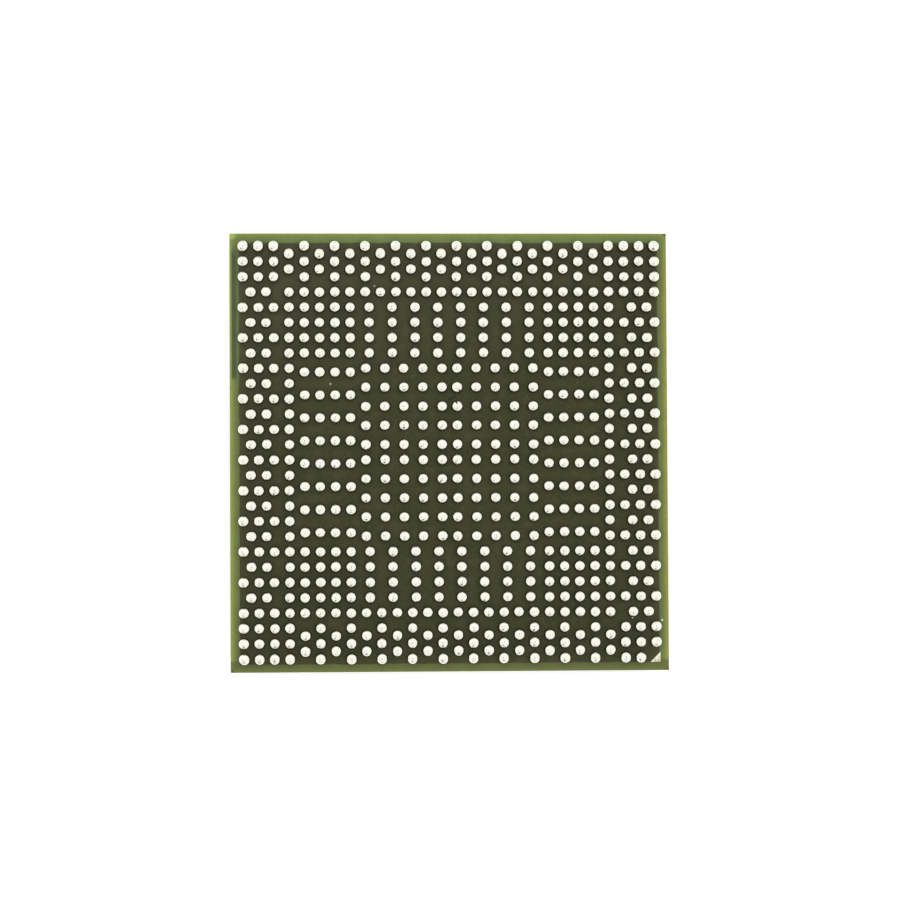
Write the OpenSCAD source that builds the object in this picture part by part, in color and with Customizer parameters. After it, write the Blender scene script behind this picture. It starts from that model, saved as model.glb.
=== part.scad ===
// Flip-chip ball grid array package. It lies ball side up and rests on the back of its bare die,
// with the origin in the middle of that face. The corner of pin one points to +X and -Y.
// Columns of the ball map run towards +X and its rows towards -Y, both counted from 0.

/* [Ball map] */
// Distance between neighbouring places of the map
pitch = 0.8; // [0.75:0.01:1]
// From the outermost ball centres to the edge of the package
edge_margin = 0.7; // [0.6:0.01:1.5]

/* [Solder balls] */
// Diameter of a ball
ball_d = 0.63; // [0.5:0.01:0.7]
// Opening in the solder mask that a ball is soldered into
ball_opening_d = 0.45; // [0.35:0.01:0.48]
// How far the foot of a ball rests on the mask around its opening
ball_foot = 0.01; // [0.005:0.005:0.04]

/* [Copper] */
// Thickness of the copper on each side
foil_t = 0.018; // [0.012:0.001:0.03]
// How far the solder mask laps over the rim of a copper pad
pad_lap = 0.05; // [0.03:0.005:0.06]
// Gap between a pad and the copper plane around it
pad_gap = 0.05; // [0.03:0.005:0.07]
// How far the copper planes reach beyond the outermost ball centres
plane_margin = 0.2; // [0.15:0.01:0.5]
// Diameter of the plated holes through the core
via_d = 0.2; // [0.1:0.01:0.3]

/* [Laminate] */
// Thickness of the glass-epoxy core
core_t = 0.8; // [0.4:0.05:1.2]
// Thickness of the build-up film on each side of the core
film_t = 0.06; // [0.03:0.005:0.12]
// Thickness of the solder mask where it covers copper
mask_t = 0.022; // [0.015:0.001:0.04]

/* [Pin one marks] */
// Leg of the bare triangle that stands in for the ball of pin one
ball_side_mark_leg = 0.53; // [0.4:0.01:0.58]
// Leg of the bare triangle on the die side
die_side_mark_leg = 1; // [0.5:0.05:1.3]
// From the edge of the copper plane to the triangle on the die side
die_side_mark_inset = 0.4; // [0.2:0.05:1]

/* [Die] */
// Length of the die along X
die_x = 8.1; // [6:0.1:10]
// Length of the die along Y
die_y = 9; // [6:0.1:10]
// Thickness of the die
die_t = 0.78; // [0.7:0.01:0.9]

/* [Die bumps] */
// Diameter of a bump under the die
bump_d = 0.12; // [0.08:0.01:0.2]
// Gap that the bumps hold between the die and the solder mask
bump_gap = 0.07; // [0.04:0.005:0.1]
// Distance between neighbouring bumps
bump_pitch = 0.6; // [0.5:0.05:1]
// Least distance from the middle of a bump to the edge of the die
bump_inset = 0.3; // [0.15:0.05:1]

/* [Underfill] */
// How far the underfill spreads out from the die over the mask
fillet_w = 1; // [0.5:0.05:1.3]
// How far the underfill climbs the sides of the die
fillet_h = 0.5; // [0.2:0.05:0.65]

/* [Capacitors] */
// Length of a capacitor over its terminals
cap_l = 1; // [0.8:0.05:1.2]
// Width of a capacitor over its terminals
cap_w = 0.5; // [0.4:0.05:0.7]
// Height of a capacitor over its terminals
cap_h = 0.5; // [0.3:0.05:0.55]
// Length of a terminal along the capacitor
terminal_l = 0.25; // [0.15:0.01:0.3]
// Thickness of the metal of a terminal
terminal_t = 0.02; // [0.01:0.005:0.03]
// Radius of the long edges of a capacitor
cap_edge_r = 0.04; // [0.03:0.005:0.08]
// Clear distance from the foot of the underfill to a capacitor's side
cap_clearance = 0.6; // [0.3:0.05:1.5]
// Distance between the middles of the two capacitors of one side of the die
cap_spacing = 3.2; // [2:0.1:5]
// Solder between a terminal and its land
cap_solder_t = 0.02; // [0.01:0.005:0.04]
// How far a solder fillet runs out from a terminal's end
solder_foot = 0.18; // [0.1:0.01:0.3]

/* [Hidden] */
CAPACITORS = 8;
$fn = 72;

// Levels, from the back of the die up to the seating plane of the balls
z_die_mask = die_t + bump_gap;
z_die_foil = z_die_mask + mask_t;
z_die_film = z_die_foil + foil_t;
z_core = z_die_film + film_t;
z_ball_film = z_core + core_t;
z_ball_foil = z_ball_film + film_t;
z_ball_mask = z_ball_foil + foil_t;
z_seat = z_ball_mask + mask_t;

// Outlines of the sheets
last = 27;
package = last * pitch + 2 * edge_margin;
plane = last * pitch + 2 * plane_margin;
pad_d = ball_opening_d + 2 * pad_lap;
clearance_d = pad_d + 2 * pad_gap;
ball_centre_h = sqrt(pow(ball_d / 2, 2) - pow(ball_opening_d / 2 + ball_foot, 2));

// ---- Ball map, in units of the pitch ----

ring_line = 3;
bank_depth = 4;
bank_lines = [for (k = [1 : bank_depth]) ring_line + k];
block_lines = concat(bank_lines, [for (line = bank_lines) last - line]);
pin_one = [last, last];

function mirrored_lines(half, first, step) =
    [for (side = [-1, 1], k = [0 : half - 1]) last / 2 + side * (first + k * step)];
function places(columns, rows) = [for (c = columns, r = rows) [c, r]];
function transposed(map) = [for (p = map) [p.y, p.x]];
function turned(map) = [for (p = map) [last - p.x, last - p.y]];
function without(map, place) = [for (p = map) if (p != place) p];
function at(p) = pitch * [p.x - last / 2, last / 2 - p.y];

// The middle field, and four banks around it whose balls line up with nothing else
centre_lines = mirrored_lines(5, 0.5, 1.25);
centre_map = places(centre_lines, centre_lines);
north_bank_map = places(mirrored_lines(4, 0.75, 1.5), bank_lines);
west_bank_map = transposed(north_bank_map);
south_bank_map = turned(north_bank_map);
east_bank_map = turned(west_bank_map);
block_map = places(block_lines, block_lines);

// One closed ring at the full pitch
ring_map = [for (k = [ring_line : last - ring_line - 1])
    each [[k, ring_line], [last - ring_line, k], [last - k, last - ring_line], [ring_line, last - k]]];

// Outside the ring the columns hold three balls and two balls by turns
function edge_rows(c) = c % 2 == 1 ? [0.5, 1.5] : [0, 1, 2];
north_edge_map = [for (c = [ring_line : last - ring_line - 1], r = edge_rows(c)) [c, r]];
west_edge_map = transposed(north_edge_map);
south_edge_map = turned(north_edge_map);
east_edge_map = turned(west_edge_map);

// Two corners of nine places, one of them less pin one, and two larger corners that touch the ring
small_corner_map = places([0 : ring_line - 1], [0 : ring_line - 1]);
large_corner_map = without(places([last - ring_line : last], [0 : ring_line]),
    [last - ring_line, ring_line]);
corner_map = concat(small_corner_map, without(turned(small_corner_map), pin_one),
    large_corner_map, turned(large_corner_map));

ball_map = concat(centre_map, north_bank_map, south_bank_map, west_bank_map, east_bank_map,
    block_map, ring_map, north_edge_map, south_edge_map, west_edge_map, east_edge_map, corner_map);

// ---- Shared shapes ----

// A sheet from one level up to another, cut from the outlines that follow
module sheet(from, to) {
    translate([0, 0, from]) linear_extrude(to - from) children();
}

module discs(map, d) {
    for (p = map) translate(at(p)) circle(d = d);
}

// A right triangle whose box is centred on the origin and whose right angle points to pin one
function corner_triangle(leg, grow) =
    let (h = leg / 2 + grow, tip = h + grow * sqrt(2)) [[h, -h], [h, tip], [-tip, -h]];

module ball_side_triangle(grow) {
    translate(at(pin_one)) polygon(corner_triangle(ball_side_mark_leg, grow));
}

module die_side_triangle(grow) {
    translate([1, -1] * (plane / 2 - die_side_mark_inset - die_side_mark_leg / 2))
        polygon(corner_triangle(die_side_mark_leg, grow));
}

// ---- Laminate ----

module core_sheet() {
    color("darkkhaki") sheet(z_core, z_ball_film) difference() {
        square(package, center = true);
        discs(centre_map, via_d);
    }
}

module ball_side_film() {
    color("darkolivegreen") sheet(z_ball_film, z_ball_foil) difference() {
        square(package, center = true);
        discs(centre_map, via_d);
    }
}

module die_side_film() {
    color("darkolivegreen") sheet(z_die_film, z_core) difference() {
        square(package, center = true);
        discs(centre_map, via_d);
    }
}

// Plated holes, filled, that join the pads of the middle field to the plane on the die side
module core_vias() {
    color("peru") sheet(z_die_film, z_ball_foil) discs(centre_map, via_d);
}

// ---- Ball side ----

module ball_side_plane() {
    color("peru") sheet(z_ball_foil, z_ball_mask) difference() {
        square(plane, center = true);
        discs(ball_map, clearance_d);
        ball_side_triangle(pad_lap + pad_gap);
    }
}

module ball_pads() {
    color("peru") sheet(z_ball_foil, z_ball_mask) discs(ball_map, pad_d);
}

module pin_one_mark() {
    color("khaki") sheet(z_ball_foil, z_ball_mask) ball_side_triangle(pad_lap);
}

// The lower half of the mask fills what the copper leaves free, and the upper half covers the copper
module ball_side_mask() {
    color("darkslategray") {
        sheet(z_ball_foil, z_ball_mask) {
            difference() {
                square(package, center = true);
                square(plane, center = true);
                discs(ball_map, pad_d);
                ball_side_triangle(pad_lap);
            }
            intersection() {
                square(plane, center = true);
                difference() {
                    union() {
                        discs(ball_map, clearance_d);
                        ball_side_triangle(pad_lap + pad_gap);
                    }
                    discs(ball_map, pad_d);
                    ball_side_triangle(pad_lap);
                }
            }
        }
        sheet(z_ball_mask, z_seat) difference() {
            square(package, center = true);
            discs(ball_map, ball_opening_d);
            ball_side_triangle(0);
        }
    }
}

// A ball fills its opening in the mask, stands on the rim of it and bulges out above
module ball() {
    rotate_extrude() {
        translate([0, z_ball_mask]) square([ball_opening_d / 2, mask_t]);
        intersection() {
            translate([0, z_seat + ball_centre_h]) circle(d = ball_d);
            translate([0, z_seat]) square(ball_d);
        }
    }
}

module balls(map) {
    color("gainsboro") for (p = map) translate(at(p)) ball();
}

module centre_balls() { balls(centre_map); }
module north_bank_balls() { balls(north_bank_map); }
module south_bank_balls() { balls(south_bank_map); }
module west_bank_balls() { balls(west_bank_map); }
module east_bank_balls() { balls(east_bank_map); }
module block_balls() { balls(block_map); }
module ring_balls() { balls(ring_map); }
module north_edge_balls() { balls(north_edge_map); }
module south_edge_balls() { balls(south_edge_map); }
module west_edge_balls() { balls(west_edge_map); }
module east_edge_balls() { balls(east_edge_map); }
module corner_balls() { balls(corner_map); }

// ---- Die side ----

bump_n = [for (side = [die_x, die_y]) floor((side - 2 * bump_inset) / bump_pitch)];
bump_map = [for (i = [0 : bump_n.x], j = [0 : bump_n.y]) bump_pitch * [i - bump_n.x / 2, j - bump_n.y / 2]];

module bump_discs(d) {
    for (p = bump_map) translate(p) circle(d = d);
}

// Capacitors stand in pairs along the four sides of the die, counted round from the north side
land_l = terminal_l + solder_foot;
function cap_turn(i) = 90 * floor((i - 1) / 2);
function cap_reach(i) = fillet_w + cap_clearance + cap_w / 2 + (cap_turn(i) % 180 == 0 ? die_y : die_x) / 2;

module at_capacitor(i) {
    side = i % 2 == 1 ? -1 : 1;
    rotate([0, 0, cap_turn(i)]) translate([side * cap_spacing / 2, cap_reach(i)]) children();
}

module at_both_ends() {
    for (end = [0, 1]) mirror([end, 0]) children();
}

module land_outlines(grow) {
    for (i = [1 : CAPACITORS]) at_capacitor(i) at_both_ends()
        translate([cap_l / 2 - terminal_l - grow, -cap_w / 2 - grow])
            square([land_l + 2 * grow, cap_w + 2 * grow]);
}

module die_side_copper(grow) {
    bump_discs(bump_d + 2 * (pad_lap + grow));
    land_outlines(pad_lap + grow);
    die_side_triangle(pad_lap + grow);
}

module die_side_plane() {
    color("peru") sheet(z_die_foil, z_die_film) difference() {
        square(plane, center = true);
        die_side_copper(pad_gap);
    }
}

module bump_lands() {
    color("peru") sheet(z_die_foil, z_die_film) bump_discs(bump_d + 2 * pad_lap);
}

module capacitor_lands() {
    color("khaki") sheet(z_die_foil, z_die_film) land_outlines(pad_lap);
}

module die_side_mark() {
    color("khaki") sheet(z_die_foil, z_die_film) die_side_triangle(pad_lap);
}

module die_side_mask() {
    color("darkslategray") {
        sheet(z_die_foil, z_die_film) {
            difference() {
                square(package, center = true);
                square(plane, center = true);
            }
            difference() {
                die_side_copper(pad_gap);
                die_side_copper(0);
            }
        }
        sheet(z_die_mask, z_die_foil) difference() {
            square(package, center = true);
            bump_discs(bump_d);
            land_outlines(0);
            die_side_triangle(0);
        }
    }
}

module die() {
    color("lightslategray") sheet(0, die_t) square([die_x, die_y], center = true);
}

module die_bumps() {
    color("gainsboro") sheet(die_t, z_die_foil) bump_discs(bump_d);
}

// The skirt of the underfill in section: it thins out along a hollow curve from the die to its foot
module underfill_section() {
    steps = 6;
    climb = bump_gap + fillet_h;
    polygon(concat([[0, 0]], [for (k = [0 : steps])
        [fillet_w * (1 - k / steps), -climb * pow(k / steps, 1.5)]]));
}

module underfill_side(length) {
    rotate([90, 0, 0]) linear_extrude(length, center = true) underfill_section();
}

module underfill_corner() {
    rotate_extrude(angle = 90) underfill_section();
}

module underfill() {
    color("dimgray") {
        sheet(die_t, z_die_mask) difference() {
            square([die_x, die_y], center = true);
            bump_discs(bump_d);
        }
        translate([0, 0, z_die_mask]) for (turn = [0, 180]) rotate([0, 0, turn]) {
            translate([die_x / 2, 0]) underfill_side(die_y);
            translate([0, die_y / 2]) rotate([0, 0, 90]) underfill_side(die_x);
            translate([die_x / 2, die_y / 2]) underfill_corner();
            translate([-die_x / 2, die_y / 2]) rotate([0, 0, 90]) underfill_corner();
        }
    }
}

// ---- Capacitors, which hang from the die side ----

z_cap_middle = z_die_mask - cap_solder_t - cap_h / 2;

// A bar along X with rounded long edges
module rounded_bar(length, width, height, r) {
    rotate([90, 0, 90]) linear_extrude(length, center = true) {
        square([width - 2 * r, height], center = true);
        square([width, height - 2 * r], center = true);
        for (x = [-1, 1], y = [-1, 1]) translate([x * (width / 2 - r), y * (height / 2 - r)]) circle(r = r);
    }
}

// The ceramic, which the terminals wrap around at both ends
module capacitor_core() {
    wrap = 2 * terminal_t;
    rounded_bar(cap_l - wrap, cap_w - wrap, cap_h - wrap, cap_edge_r - terminal_t);
}

module capacitor_body(i) {
    color("tan") translate([0, 0, z_cap_middle]) at_capacitor(i) capacitor_core();
}

module capacitor_terminals(i) {
    color("silver") translate([0, 0, z_cap_middle]) at_capacitor(i)
        at_both_ends() difference() {
            translate([(cap_l - terminal_l) / 2, 0]) rounded_bar(terminal_l, cap_w, cap_h, cap_edge_r);
            capacitor_core();
        }
}

// Solder fills the opening over a land, beds the terminal and runs up its end
module capacitor_solder() {
    end = cap_l / 2;
    color("gainsboro") {
        sheet(z_die_mask, z_die_foil) land_outlines(0);
        translate([0, 0, z_die_mask]) for (i = [1 : CAPACITORS]) at_capacitor(i) at_both_ends()
            rotate([90, 0, 0]) linear_extrude(cap_w - 2 * cap_edge_r, center = true) polygon([
                [end - terminal_l, 0],
                [end + solder_foot, 0],
                [end + solder_foot / 3, -cap_solder_t - cap_h / 6],
                [end, -cap_solder_t - cap_h / 2],
                [end, -cap_solder_t],
                [end - terminal_l, -cap_solder_t]
            ]);
    }
}

core_sheet();
ball_side_film();
die_side_film();
core_vias();
ball_side_plane();
die_side_plane();
ball_pads();
bump_lands();
capacitor_lands();
ball_side_mask();
die_side_mask();
pin_one_mark();
die_side_mark();
centre_balls();
north_bank_balls();
south_bank_balls();
west_bank_balls();
east_bank_balls();
block_balls();
ring_balls();
north_edge_balls();
south_edge_balls();
west_edge_balls();
east_edge_balls();
corner_balls();
die();
die_bumps();
underfill();
capacitor_solder();
for (i = [1 : CAPACITORS]) {
    capacitor_body(i);
    capacitor_terminals(i);
}
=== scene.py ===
"""Finishes, fine forms, light and camera for a flip-chip ball grid array package.

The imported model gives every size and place. Pieces are modelled in millimetres, each in its
place, and are brought to metres when they are finished.
"""

import logging
import math
import random
from collections.abc import Callable, Iterable
from dataclasses import dataclass, field
from enum import Enum
from typing import Any

import bmesh
import bpy
import numpy as np
from mathutils import Matrix, Vector


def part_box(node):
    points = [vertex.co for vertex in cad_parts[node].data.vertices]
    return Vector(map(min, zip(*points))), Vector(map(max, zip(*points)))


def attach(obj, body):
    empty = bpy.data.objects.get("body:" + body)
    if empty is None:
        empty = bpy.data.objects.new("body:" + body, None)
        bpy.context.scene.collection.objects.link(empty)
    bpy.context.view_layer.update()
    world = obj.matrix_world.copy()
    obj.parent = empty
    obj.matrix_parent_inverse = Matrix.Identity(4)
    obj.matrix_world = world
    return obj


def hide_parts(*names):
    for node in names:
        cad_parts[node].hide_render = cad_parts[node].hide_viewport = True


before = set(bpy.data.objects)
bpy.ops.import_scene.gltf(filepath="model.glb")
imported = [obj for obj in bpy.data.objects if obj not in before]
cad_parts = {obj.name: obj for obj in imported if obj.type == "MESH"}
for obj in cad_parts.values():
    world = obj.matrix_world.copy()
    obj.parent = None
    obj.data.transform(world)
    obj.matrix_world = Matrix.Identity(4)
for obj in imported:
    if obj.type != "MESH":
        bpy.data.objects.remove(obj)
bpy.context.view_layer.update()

logging.basicConfig(level=logging.INFO, format="%(name)s: %(message)s")
log = logging.getLogger("chip")

MM = 0.001
OVERCUT = 0.01
BODY = "root"
Colour = tuple[float, float, float, float]
Point = tuple[float, float]


def tone(red: int, green: int, blue: int) -> Colour:
    """Turns a colour as it looks on a display, 0 to 255 a channel, into linear light.

    Args:
        red: Red, 0 to 255.
        green: Green, 0 to 255.
        blue: Blue, 0 to 255.

    Returns:
        The linear colour with an alpha of 1.
    """
    def linear(value: int) -> float:
        """One channel, by the usual display curve."""
        share = value / 255
        return share / 12.92 if share <= 0.04045 else ((share + 0.055) / 1.055) ** 2.4

    return linear(red), linear(green), linear(blue), 1.0


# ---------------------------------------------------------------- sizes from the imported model


@dataclass(frozen=True)
class Box:
    """A node's box, in millimetres."""

    low: Vector
    high: Vector

    @classmethod
    def of(cls, node: str) -> "Box":
        """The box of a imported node."""
        low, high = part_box(node)
        return cls(low / MM, high / MM)

    @property
    def size(self) -> Vector:
        """Length along X, Y and Z."""
        return self.high - self.low

    @property
    def centre(self) -> Vector:
        """The middle of the box."""
        return (self.low + self.high) / 2


def mesh_points(mesh: bpy.types.Mesh) -> np.ndarray:
    """The vertices of a mesh, one in a row."""
    points = np.empty(len(mesh.vertices) * 3)
    mesh.vertices.foreach_get("co", points)
    return points.reshape(-1, 3)


def node_points(node: str) -> np.ndarray:
    """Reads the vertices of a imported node.

    Args:
        node: Name of the node.

    Returns:
        The vertices as an array of rows, in millimetres.
    """
    return mesh_points(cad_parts[node].data) / MM


def ball_places(node: str) -> list[Point]:
    """Finds the middles of the balls of one zone from their tips.

    Args:
        node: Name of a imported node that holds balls.

    Returns:
        The middles along X and Y, in millimetres, in a fixed order.
    """
    points = node_points(node)
    tips = points[points[:, 2] > points[:, 2].max() - 0.0005, :2]
    return [tuple(place) for place in np.unique(tips.round(2), axis=0)]


# ---------------------------------------------------------------- modelling bench


class Element(Enum):
    """What a selection in edit mode picks."""

    VERT = "verts"
    EDGE = "edges"
    FACE = "faces"


def stand_clear() -> None:
    """Leaves edit mode and deselects every object."""
    active = bpy.context.view_layer.objects.active
    if active is not None and active.mode != "OBJECT":
        bpy.ops.object.mode_set(mode="OBJECT")
    bpy.ops.object.select_all(action="DESELECT")


def take_up(piece: bpy.types.Object) -> None:
    """Selects one object alone and makes it the active one."""
    stand_clear()
    bpy.context.view_layer.objects.active = piece
    piece.select_set(True)


def pick(element: Element, test: Callable[[Any], bool]) -> None:
    """Selects the elements of the mesh in edit mode that pass a test, and no others.

    Args:
        element: The kind of element to select.
        test: Says of one bmesh element whether it is selected.
    """
    kind = element.name
    bpy.ops.mesh.select_mode(type=kind)
    bpy.ops.mesh.select_all(action="DESELECT")
    mesh = bmesh.from_edit_mesh(bpy.context.object.data)
    for item in getattr(mesh, element.value):
        if test(item):
            item.select_set(True)
    mesh.select_flush_mode()
    bmesh.update_edit_mesh(bpy.context.object.data)


def edge_middle(edge: bmesh.types.BMEdge) -> Vector:
    """The middle of an edge."""
    return (edge.verts[0].co + edge.verts[1].co) / 2


def runs_along(edge: bmesh.types.BMEdge, axis: int) -> bool:
    """Whether an edge runs along one axis, numbered from 0."""
    span = edge.verts[1].co - edge.verts[0].co
    return abs(span[axis]) > 0.99 * span.length


def settle() -> None:
    """Moves the active object's place, turn and scale into its mesh."""
    bpy.ops.object.transform_apply(location=True, rotation=True, scale=True)


def face_outwards() -> None:
    """Turns every face of the mesh in edit mode outwards, and leaves edit mode."""
    bpy.ops.mesh.select_all(action="SELECT")
    bpy.ops.mesh.normals_make_consistent(inside=False)
    bpy.ops.object.mode_set(mode="OBJECT")


def block(box: Box) -> bpy.types.Object:
    """Adds a block to shape further, with its size and place in its mesh.

    Args:
        box: The block's box.

    Returns:
        The new object, active and alone selected.
    """
    stand_clear()
    bpy.ops.mesh.primitive_cube_add(size=1, location=box.centre, scale=box.size)
    settle()
    return bpy.context.object


def copy_of(piece: bpy.types.Object, placing: Matrix) -> bpy.types.Object:
    """Copies a model, mesh and all, to another place.

    Args:
        piece: The model.
        placing: How the copy's mesh is moved, in millimetres.

    Returns:
        The copy, linked to the scene.
    """
    twin = piece.copy()
    twin.data = piece.data.copy()
    twin.data.transform(placing)
    bpy.context.scene.collection.objects.link(twin)
    return twin


def joined(pieces: list[bpy.types.Object]) -> bpy.types.Object:
    """Joins objects into the first one and returns it."""
    take_up(pieces[0])
    for piece in pieces:
        piece.select_set(True)
    bpy.ops.object.join()
    return pieces[0]


def discard(piece: bpy.types.Object) -> None:
    """Removes a model that was only there to be copied or cut with."""
    stand_clear()
    mesh = piece.data
    bpy.data.objects.remove(piece)
    bpy.data.meshes.remove(mesh)


def combine(piece: bpy.types.Object, other: bpy.types.Object, operation: str) -> None:
    """Combines a closed piece with another closed one, which is used up.

    Args:
        piece: The piece that stays.
        other: The other one.
        operation: DIFFERENCE to cut the other away, UNION to fuse the two.
    """
    take_up(piece)
    join = piece.modifiers.new("combined", "BOOLEAN")
    join.operation = operation
    join.solver = "MANIFOLD"
    join.object = other
    bpy.ops.object.modifier_apply(modifier=join.name)
    discard(other)


def cut_away(piece: bpy.types.Object, cutter: bpy.types.Object) -> None:
    """Takes a closed cutter out of a closed piece."""
    combine(piece, cutter, "DIFFERENCE")


def fuse(piece: bpy.types.Object, other: bpy.types.Object) -> None:
    """Makes one closed piece of two that overlap."""
    combine(piece, other, "UNION")


def round_edges(piece: bpy.types.Object, width: float, segments: int = 3) -> None:
    """Rounds the sharp edges of a piece with an applied bevel."""
    take_up(piece)
    bevel = piece.modifiers.new("round", "BEVEL")
    bevel.width = width
    bevel.segments = segments
    bevel.limit_method = "ANGLE"
    bpy.ops.object.modifier_apply(modifier=bevel.name)


def finish_piece(
    piece: bpy.types.Object,
    name: str,
    finish: bpy.types.Material,
    stands_for: Iterable[str] = (),
    smooth_below: float = 40.0,
) -> bpy.types.Object:
    """Brings a model to metres, dresses it and fastens it to the package.

    Args:
        piece: The model, in millimetres and in its place.
        name: The piece's name.
        finish: The material it gets.
        stands_for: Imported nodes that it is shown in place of.
        smooth_below: Edges flatter than this, in degrees, are shaded smooth.

    Returns:
        The finished piece, its object at the origin.
    """
    take_up(piece)
    bpy.ops.object.shade_smooth_by_angle(angle=math.radians(smooth_below))
    piece.data.transform(Matrix.Scale(MM, 4) @ piece.matrix_world)
    piece.matrix_world = Matrix.Identity(4)
    piece.name = piece.data.name = name
    piece.data.materials.clear()
    piece.data.materials.append(finish)
    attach(piece, BODY)
    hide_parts(*stands_for)
    log.info("%s: %d faces", name, len(piece.data.polygons))
    return piece


# ---------------------------------------------------------------- material graphs


class Nodes:
    """Adds nodes to one tree."""

    def __init__(self, tree: bpy.types.NodeTree) -> None:
        """Starts on a tree.

        Args:
            tree: The tree.
        """
        self.tree = tree

    def add(self, kind: str, sockets: dict[str | int, Any] | None = None, **settings: Any) -> bpy.types.Node:
        """Adds a node.

        Args:
            kind: The node's type.
            sockets: Values or output sockets, by the input socket they go to.
            **settings: The node's own settings.

        Returns:
            The new node.
        """
        node = self.tree.nodes.new(kind)
        for key, value in settings.items():
            setattr(node, key, value)
        for key, value in (sockets or {}).items():
            self.feed(node.inputs[key], value)
        return node

    def feed(self, socket: bpy.types.NodeSocket, value: Any) -> None:
        """Links an output socket to an input socket, or sets a plain value on it."""
        if isinstance(value, bpy.types.NodeSocket):
            self.tree.links.new(value, socket)
        else:
            socket.default_value = value

    def moved(
        self,
        vector: bpy.types.NodeSocket,
        by: tuple[float, float, float] = (0, 0, 0),
        turn: float = 0.0,
        scale: tuple[float, float, float] = (1, 1, 1),
    ) -> bpy.types.NodeSocket:
        """Moves, turns about Z, then stretches coordinates.

        Args:
            vector: The coordinates.
            by: The point that comes to the origin.
            turn: Turn about Z, in degrees.
            scale: Stretch along each axis.

        Returns:
            The new coordinates.
        """
        if any(by) or turn:
            vector = self.add("ShaderNodeVectorMath", {0: vector, 1: by}, operation="SUBTRACT").outputs[0]
            vector = self.add("ShaderNodeMapping", {0: vector, 2: (0, 0, math.radians(turn))}).outputs[0]
        return self.add("ShaderNodeMapping", {0: vector, 3: scale}).outputs[0]

    def parts(self, vector: bpy.types.NodeSocket) -> list[bpy.types.NodeSocket]:
        """The X, Y and Z of a vector."""
        return list(self.add("ShaderNodeSeparateXYZ", {0: vector}).outputs)

    def math(self, operation: str, first: Any, second: Any = 0.0) -> bpy.types.NodeSocket:
        """Works out one value from two."""
        return self.add("ShaderNodeMath", {0: first, 1: second}, operation=operation).outputs[0]

    def plus(self, first: Any, second: Any) -> bpy.types.NodeSocket:
        """The sum of two values."""
        return self.math("ADD", first, second)

    def minus(self, first: Any, second: Any) -> bpy.types.NodeSocket:
        """The first value less the second."""
        return self.math("SUBTRACT", first, second)

    def times(self, first: Any, second: Any) -> bpy.types.NodeSocket:
        """The product of two values."""
        return self.math("MULTIPLY", first, second)

    def larger(self, first: Any, second: Any) -> bpy.types.NodeSocket:
        """The larger of two values."""
        return self.math("MAXIMUM", first, second)

    def absolute(self, value: Any) -> bpy.types.NodeSocket:
        """A value without its sign."""
        return self.math("ABSOLUTE", value)

    def length(self, vector: bpy.types.NodeSocket) -> bpy.types.NodeSocket:
        """The length of a vector."""
        return self.add("ShaderNodeVectorMath", {0: vector}, operation="LENGTH").outputs["Value"]

    def ramp(self, value: Any, start: float, end: float, low: float = 0.0, high: float = 1.0) -> bpy.types.NodeSocket:
        """Passes smoothly from low to high as a value goes from start to end.

        Args:
            value: The value that steers.
            start: Where it begins to pass. It may be above end.
            end: Where it has passed.
            low: The result at start.
            high: The result at end.

        Returns:
            The result.
        """
        node = self.add(
            "ShaderNodeMapRange",
            {"Value": value, "From Min": start, "From Max": end, "To Min": low, "To Max": high},
            interpolation_type="SMOOTHSTEP",
        )
        return node.outputs["Result"]

    def mix(self, share: Any, first: Any, second: Any) -> bpy.types.NodeSocket:
        """Mixes two colours by a share from 0, all first, to 1, all second."""
        return self.add("ShaderNodeMix", {0: share, 6: first, 7: second}, data_type="RGBA").outputs[2]

    def shades(self, value: Any, stops: dict[float, Colour]) -> bpy.types.NodeSocket:
        """Passes through several colours as a value rises from 0.

        Args:
            value: The value that steers.
            stops: The colours, by the value at which each holds. The first is at 0.

        Returns:
            The colour.
        """
        (_, first), *middle, (end, last) = stops.items()
        node = self.add("ShaderNodeValToRGB", {0: self.math("DIVIDE", value, end)})
        elements = node.color_ramp.elements
        elements[0].color, elements[1].color = first, last
        for at, colour in middle:
            elements.new(at / end).color = colour
        return node.outputs["Color"]


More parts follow.
